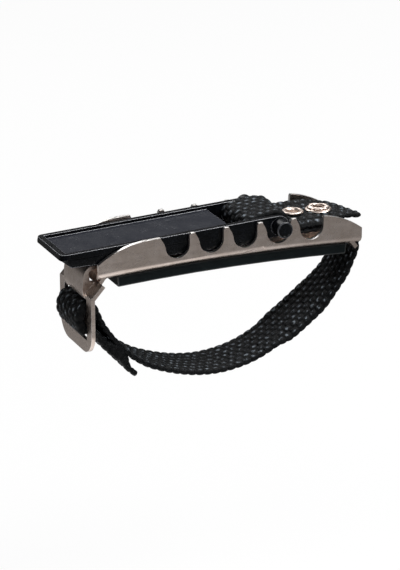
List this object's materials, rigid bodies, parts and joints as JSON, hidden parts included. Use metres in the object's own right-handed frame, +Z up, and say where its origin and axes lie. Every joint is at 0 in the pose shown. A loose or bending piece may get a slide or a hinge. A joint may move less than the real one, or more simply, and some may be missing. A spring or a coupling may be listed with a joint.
{
  "type": "strap guitar capo",
  "caption": "Toggle capo: a notched steel bar with a rubber pad, held across a neck by a webbing strap that a folding lever pulls tight.",
  "frame": {"origin": "middle of the pad's underside, at mid-length of the bar, where the strings and the fingerboard's crown lie", "axes": "+X along the bar from the buckle to the strap's free end (across the guitar's neck), +Y across the bar (along the strings), +Z up out of the fingerboard"},
  "size_m": [0.0735, 0.0226, 0.0369],
  "materials": {
    "nickel_plate": "satin nickel plate with bright sheared edges",
    "black_gloss": "moulded gloss",
    "black_rubber": "smooth, slightly shiny",
    "black_webbing": "coarse woven polyester webbing"
  },
  "bodies": {
    "frame": {"channel": "nickel_plate", "pad": "black_rubber", "strap_head_upper": "black_webbing", "strap_head_lower": "black_webbing", "strap_toggle_loop": "black_webbing", "strap_run": "black_webbing", "strap_rise": "black_webbing", "eyelet_lever_end": "nickel_plate", "eyelet_free_end": "nickel_plate", "washer_lever_end": "nickel_plate", "washer_free_end": "nickel_plate"},
    "toggle": {"toggle_pin": "black_gloss"},
    "lever": {"lever": "black_gloss"},
    "buckle": {"buckle": "nickel_plate", "strap_wrap": "black_webbing", "strap_tail": "black_webbing"}
  },
  "joints": [
    {"name": "toggle_lift", "type": "slide", "parent": "frame", "child": "toggle", "axis": [0, 0, 1], "range_m": [0, 0.0045], "deforming": ["strap_toggle_loop"]},
    {"name": "lever_hinge", "type": "hinge", "parent": "toggle", "child": "lever", "pos_m": [0.01184, 0, 0.00801], "axis": [0, 1, 0], "range_deg": [0, 120], "deforming": ["strap_toggle_loop"]},
    {"name": "buckle_swing", "type": "hinge", "parent": "frame", "child": "buckle", "pos_m": [-0.03095, 0, 0.00237], "axis": [0, 1, 0], "range_deg": [-2, 25], "deforming": ["strap_rise"]}
  ]
}
